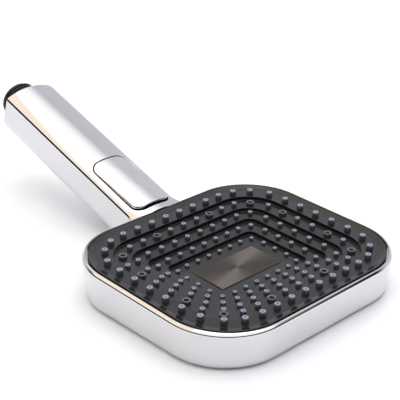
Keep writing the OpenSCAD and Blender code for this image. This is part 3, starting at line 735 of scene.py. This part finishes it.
def centre_plate():
    shell = Shell()
    top, low = FLOORS[4] + 0.4, FLOORS[4] - 0.75
    keys = [
        (loop(19.6, 10.0, 0.35, low, corner=5, side=10), 0, 0),
        (loop(19.6, 10.0, 0.35, top, corner=5, side=10), 0.18, 3),
        (loop(19.0, 9.4, 0.3, top, corner=5, side=10), 0, 0),
    ]
    rows = profile_rows(keys)
    outer, middle = rows[5], FACE @ Vector((0, 0, top))
    for t in (0.8, 0.6, 0.4, 0.2):
        rows.append([middle.lerp(p, t) for p in outer])
    shell.closed(rows)
    shell.piece("brushed_centre", PLATE, "brushed_plate", "body", ["centre_plate"], sharp=60)


face_plate()
nozzles()
centre_plate()


# ---------------------------------------------------------------- button

PLUNGER_Y = 11.0
SIDE_GAP, FRONT_GAP = 0.45, 0.9
UNDER_Z, BUTTON_EDGE = 0.9, 0.5
LUG = [(0.85, -4), (1.75, -4), (1.9, -3.85), (1.9, 3.85), (1.75, 4), (0.85, 4), (0.85, -4)]
PAD = [(1.8, -1.42), (2.0, -1.22), (2.0, 1.2)]


def button():
    shell = Shell()
    y0, y1 = BUTTON_Y0 + FRONT_GAP, BUTTON_Y0 + BUTTON_L - SIDE_GAP
    u, v, r = BUTTON_W / 2 - SIDE_GAP, (y1 - y0) / 2, BUTTON_R - SIDE_GAP
    mid = (y0 + y1) / 2

    def top(x, y):
        """Crown surface, tilted about the hinge so that the head end stands proud."""
        return (crown(x) - PIN_Z - (y - PIN_Y) * math.sin(PROUD)) / math.cos(PROUD) + PIN_Z

    def ring(d, z_of):
        flat = loop(u - d, v - d, max(r - d, 0.25), 0.0, ROW, corner=14, side=14)
        return [HANDLE @ Vector((p.x, p.y + mid, z_of(p.x, p.y + mid))) for p in flat]

    starts = ((0.6, UNDER_Z), (0.15, UNDER_Z), (0, UNDER_Z + 0.15))
    rows = [ring(d, lambda x, y, z=z: z) for d, z in starts]
    for s in np.linspace(0, math.pi / 2, 7):
        d, drop = BUTTON_EDGE * (1 - math.cos(s)), BUTTON_EDGE * (1 - math.sin(s))
        rows.append(ring(d, lambda x, y, drop=drop: top(x, y) - drop))
    for d in (1.0, 2.0, 3.5, 5.0, 6.5, 8.0, 9.5, 10.6, 11.2):
        rows.append(ring(d, top))
    shell.closed(rows)
    # Hinge lug and the pad that bears on the plunger, under the cap
    lug = HANDLE @ Matrix.Translation((0, PIN_Y, PIN_Z)) @ Matrix.Rotation(math.pi / 2, 4, "Y")
    revolve(shell, LUG, lug, sides=32, capped=False)
    pad = HANDLE @ Matrix.Translation((0, PLUNGER_Y, 0))
    revolve(shell, PAD, pad, sides=32)
    shell.piece("push_button", BUTTON, "button_grey", "button", ["button_cap"], sharp=60)


button()


# ---------------------------------------------------------------- return spring

SPRING_TURNS, WIRE_R = 4, 0.25
SPRING_WIDE, SPRING_NARROW = 3.9, 2.8
SPRING_STEPS, WIRE_SIDES = 28, 10


def spring():
    """Conical spring, wound as long as the CAD spring and narrowing towards its upper end. It rides the plunger, and
    its lower end sits on the valve's floor, where the CAD spring's does."""
    held = frame["nodes"]["return_spring"]
    back = HANDLE.inverted()
    heights = [(back @ (held.matrix_world @ v.co / MM)).z for v in held.data.vertices]
    z0, z1 = min(heights) + WIRE_R, max(heights) - WIRE_R
    shell, rows, steps = Shell(), [], SPRING_STEPS * SPRING_TURNS
    for i in range(steps + 1):
        t, turn = i / steps, 2 * math.pi * SPRING_TURNS * i / steps
        mid, ring = SPRING_WIDE + (SPRING_NARROW - SPRING_WIDE) * t, []
        for around in np.linspace(0, 2 * math.pi, WIRE_SIDES + 1)[:-1]:
            out, z = mid + WIRE_R * math.cos(around), z0 + (z1 - z0) * t + WIRE_R * math.sin(around)
            ring.append(HANDLE @ Vector((out * math.cos(turn), PLUNGER_Y + out * math.sin(turn), z)))
        rows.append(ring)
    shell.closed(rows)
    wire = shell.piece("spring_wire", STEEL, "stainless", "plunger", ["return_spring"], sharp=40)
    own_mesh(wire)


spring()


# ---------------------------------------------------------------- hose connector

THREAD_Y0, THREAD_Y1, THREAD_DEPTH = 114.2, 124.2, 1.16
SPIGOT_Y, STOP_Y, COLLAR_Y, COLLAR_R = 99.2, 113.9, 113.4, 10.178


def connector():
    shell = Shell()
    axis = HANDLE @ Matrix.Translation((0, 0, THREAD_Z)) @ Matrix.Rotation(-math.pi / 2, 4, "X")
    sides = 96
    y0, y1 = THREAD_Y0, THREAD_Y1
    minor = THREAD_R - THREAD_DEPTH

    def radius(angle, y):
        """Whitworth-like ridge: rounded crest and root, faded out at both ends."""
        phase = ((y - y0) / THREAD_PITCH - angle / (2 * math.pi)) % 1.0
        ridge = 1 - abs(2 * phase - 1)
        ridge = min(1.0, max(0.0, (ridge - 0.16) / 0.68))
        ridge = ridge * ridge * (3 - 2 * ridge)
        fade = min(1.0, max(0.0, (y - y0 - 0.6) / 1.0)) * min(1.0, max(0.0, (y1 - 0.5 - y) / 1.2))
        return minor + THREAD_DEPTH * ridge * fade

    def ring(y, r_of):
        points = []
        for i in range(sides):
            a = 2 * math.pi * i / sides
            r = r_of(a)
            points.append(axis @ Vector((r * math.cos(a), r * math.sin(a), y)))
        return points

    plain = [(5.0, SPIGOT_Y), (5.0, STOP_Y), (6.8, STOP_Y), (6.8, y1 - 0.25), (6.9, y1 - 0.07), (7.1, y1)]
    rows = [ring(y, lambda a, r=r: r) for r, y in plain]
    rows += [ring(y1, lambda a: minor - 0.4), ring(y1 - 0.15, lambda a: minor - 0.12)]
    for y in np.arange(y1 - 0.3, y0 + 0.1, -0.1):
        rows.append(ring(y, lambda a, y=y: radius(a, y)))
    rest = [(minor, y0), (10.0, y0), (COLLAR_R, y0 - 0.18), (COLLAR_R, COLLAR_Y + 0.15), (10.05, COLLAR_Y)]
    rest += [(7.55, COLLAR_Y), (7.55, SPIGOT_Y + 0.2), (7.35, SPIGOT_Y), (5.0, SPIGOT_Y)]
    rows += [ring(y, lambda a, r=r: r) for r, y in rest]
    shell.grid(rows, closed=True)
    shell.piece("threaded_connector", CONNECTOR, "connector_black", "body", ["hose_connector"])


connector()


# ---------------------------------------------------------------- floor, light, camera

FLOOR_HALF = 3.0


def stage():
    mesh = bpy.data.meshes.new("floor")
    corners = [(x * FLOOR_HALF, y * FLOOR_HALF, 0) for x, y in ((-1, -1), (1, -1), (1, 1), (-1, 1))]
    mesh.from_pydata(corners, [], [(0, 1, 2, 3)])
    m, tree, shader = new_material("floor")
    mottle(tree, shader, noise(tree, object_coords(tree), 30, 3), (0.855, 0.865, 0.895), (0.87, 0.88, 0.91))
    shader.inputs["Roughness"].default_value = 0.7
    shader.inputs["Specular IOR Level"].default_value = 0.1
    mesh.materials.append(m)
    floor = bpy.data.objects.new("floor", mesh)
    bpy.context.collection.objects.link(floor)


def soft_light(name, place_at, aim, size, watts):
    """Disc lamp that lights the scene but doesn't show in the chrome."""
    data = bpy.data.lights.new(name, "AREA")
    data.shape, data.size, data.energy = "DISK", size, watts
    lamp = bpy.data.objects.new(name, data)
    lamp.location = place_at
    lamp.rotation_euler = (Vector(aim) - Vector(place_at)).to_track_quat("-Z", "Y").to_euler()
    lamp.visible_glossy = False
    bpy.context.collection.objects.link(lamp)


# Camera solved from the photo: place in metres, then azimuth, elevation and roll in degrees, then the lens
CAMERA_AT = Vector((-0.316265, -0.310647, 0.254783))
CAMERA_AZ, CAMERA_EL, CAMERA_ROLL = map(math.radians, (-43.21082, 25.24757, -0.10651))
CAMERA_LENS, SENSOR = 95.628, 36.0
# Half a pixel of the 400 x 400 picture
HALF_PIXEL = 0.5 / 400


def camera():
    flat = math.cos(CAMERA_EL)
    back = Vector((math.sin(CAMERA_AZ) * flat, -math.cos(CAMERA_AZ) * flat, math.sin(CAMERA_EL)))
    right = (-back).cross(Vector((0, 0, 1))).normalized()
    up = right.cross(-back)
    turned = right * math.cos(CAMERA_ROLL) + up * math.sin(CAMERA_ROLL)
    up = up * math.cos(CAMERA_ROLL) - right * math.sin(CAMERA_ROLL)
    data = bpy.data.cameras.new("camera")
    data.lens, data.sensor_width = CAMERA_LENS, SENSOR
    data.shift_x, data.shift_y = -HALF_PIXEL, HALF_PIXEL
    data.clip_start = 0.01
    eye = bpy.data.objects.new("camera", data)
    matrix = Matrix((turned, up, back)).transposed().to_4x4()
    matrix.translation = CAMERA_AT
    eye.matrix_world = matrix
    bpy.context.collection.objects.link(eye)
    bpy.context.scene.camera = eye


GREY_SIDE = (0.77, 0.64, 0.0)
CREAM_SIDE = (-0.307, 1.0, 0.0)
WORLD_STRENGTH = 2.8
WHITE, TOP, CREAM = (0.5, 0.5, 0.5), (1.0, 1.0, 1.0), (0.5, 0.435, 0.36)
GREY, DARK = (0.265, 0.262, 0.28), (0.006, 0.006, 0.0065)


def world():
    """Studio by direction: bright above, with a wall that is grey on the side away from the photo's camera and dark
    on all others, and a cream zone higher up beyond the handle's end."""
    w = bpy.data.worlds.new("studio")
    bpy.context.scene.world = w
    w.use_nodes = True
    tree = w.node_tree
    ground = tree.nodes["Background"]
    direction = tree.nodes.new("ShaderNodeTexCoord").outputs["Generated"]
    split = tree.nodes.new("ShaderNodeSeparateXYZ")
    link(tree, direction, split.inputs[0])

    def facing(axis):
        n = tree.nodes.new("ShaderNodeVectorMath")
        n.operation = "DOT_PRODUCT"
        link(tree, direction, n.inputs[0])
        n.inputs[1].default_value = Vector(axis).normalized()
        return n.outputs["Value"]

    def blend_in(factor, a, b):
        n = tree.nodes.new("ShaderNodeMix")
        n.data_type = "RGBA"
        link(tree, factor, n.inputs["Factor"])
        link(tree, a, n.inputs["A"])
        link(tree, b, n.inputs["B"])
        return n.outputs["Result"]

    def product(a, b):
        n = tree.nodes.new("ShaderNodeMath")
        n.operation = "MULTIPLY"
        link(tree, a, n.inputs[0])
        link(tree, b, n.inputs[1])
        return n.outputs[0]

    height = split.outputs["Z"]
    above = [(0.88, WHITE), (0.95, TOP)]
    grey_side = ramp(tree, height, [(0.0, GREY), (0.70, GREY), (0.85, WHITE)] + above)
    dark_side = ramp(tree, height, [(0.0, DARK), (0.46, DARK), (0.58, WHITE)] + above)
    cream_sky = ramp(tree, height, [(0.0, CREAM), (1.0, CREAM)])
    sky = blend_in(span(tree, facing(GREY_SIDE), 0.0, 1.0, 0.2, 0.5), dark_side, grey_side)
    beyond = span(tree, facing(CREAM_SIDE), 0.0, 1.0, 0.318, 0.334)
    raised = span(tree, height, 0.0, 1.0, 0.5, 0.62)
    leftward = span(tree, split.outputs["X"], 1.0, 0.0, 0.22, 0.35)
    cream = product(beyond, product(raised, leftward))
    link(tree, blend_in(cream, sky, cream_sky), ground.inputs["Color"])
    ground.inputs["Strength"].default_value = WORLD_STRENGTH


stage()
camera()
world()
soft_light("key", (0.9, 0.35, 0.6), (0, 0.05, 0), 0.6, 2.2)
soft_light("side", (-0.8, 0.45, 0.35), (-0.03, 0.15, 0), 0.5, 0.9)

bpy.context.scene.view_settings.view_transform = "Standard"
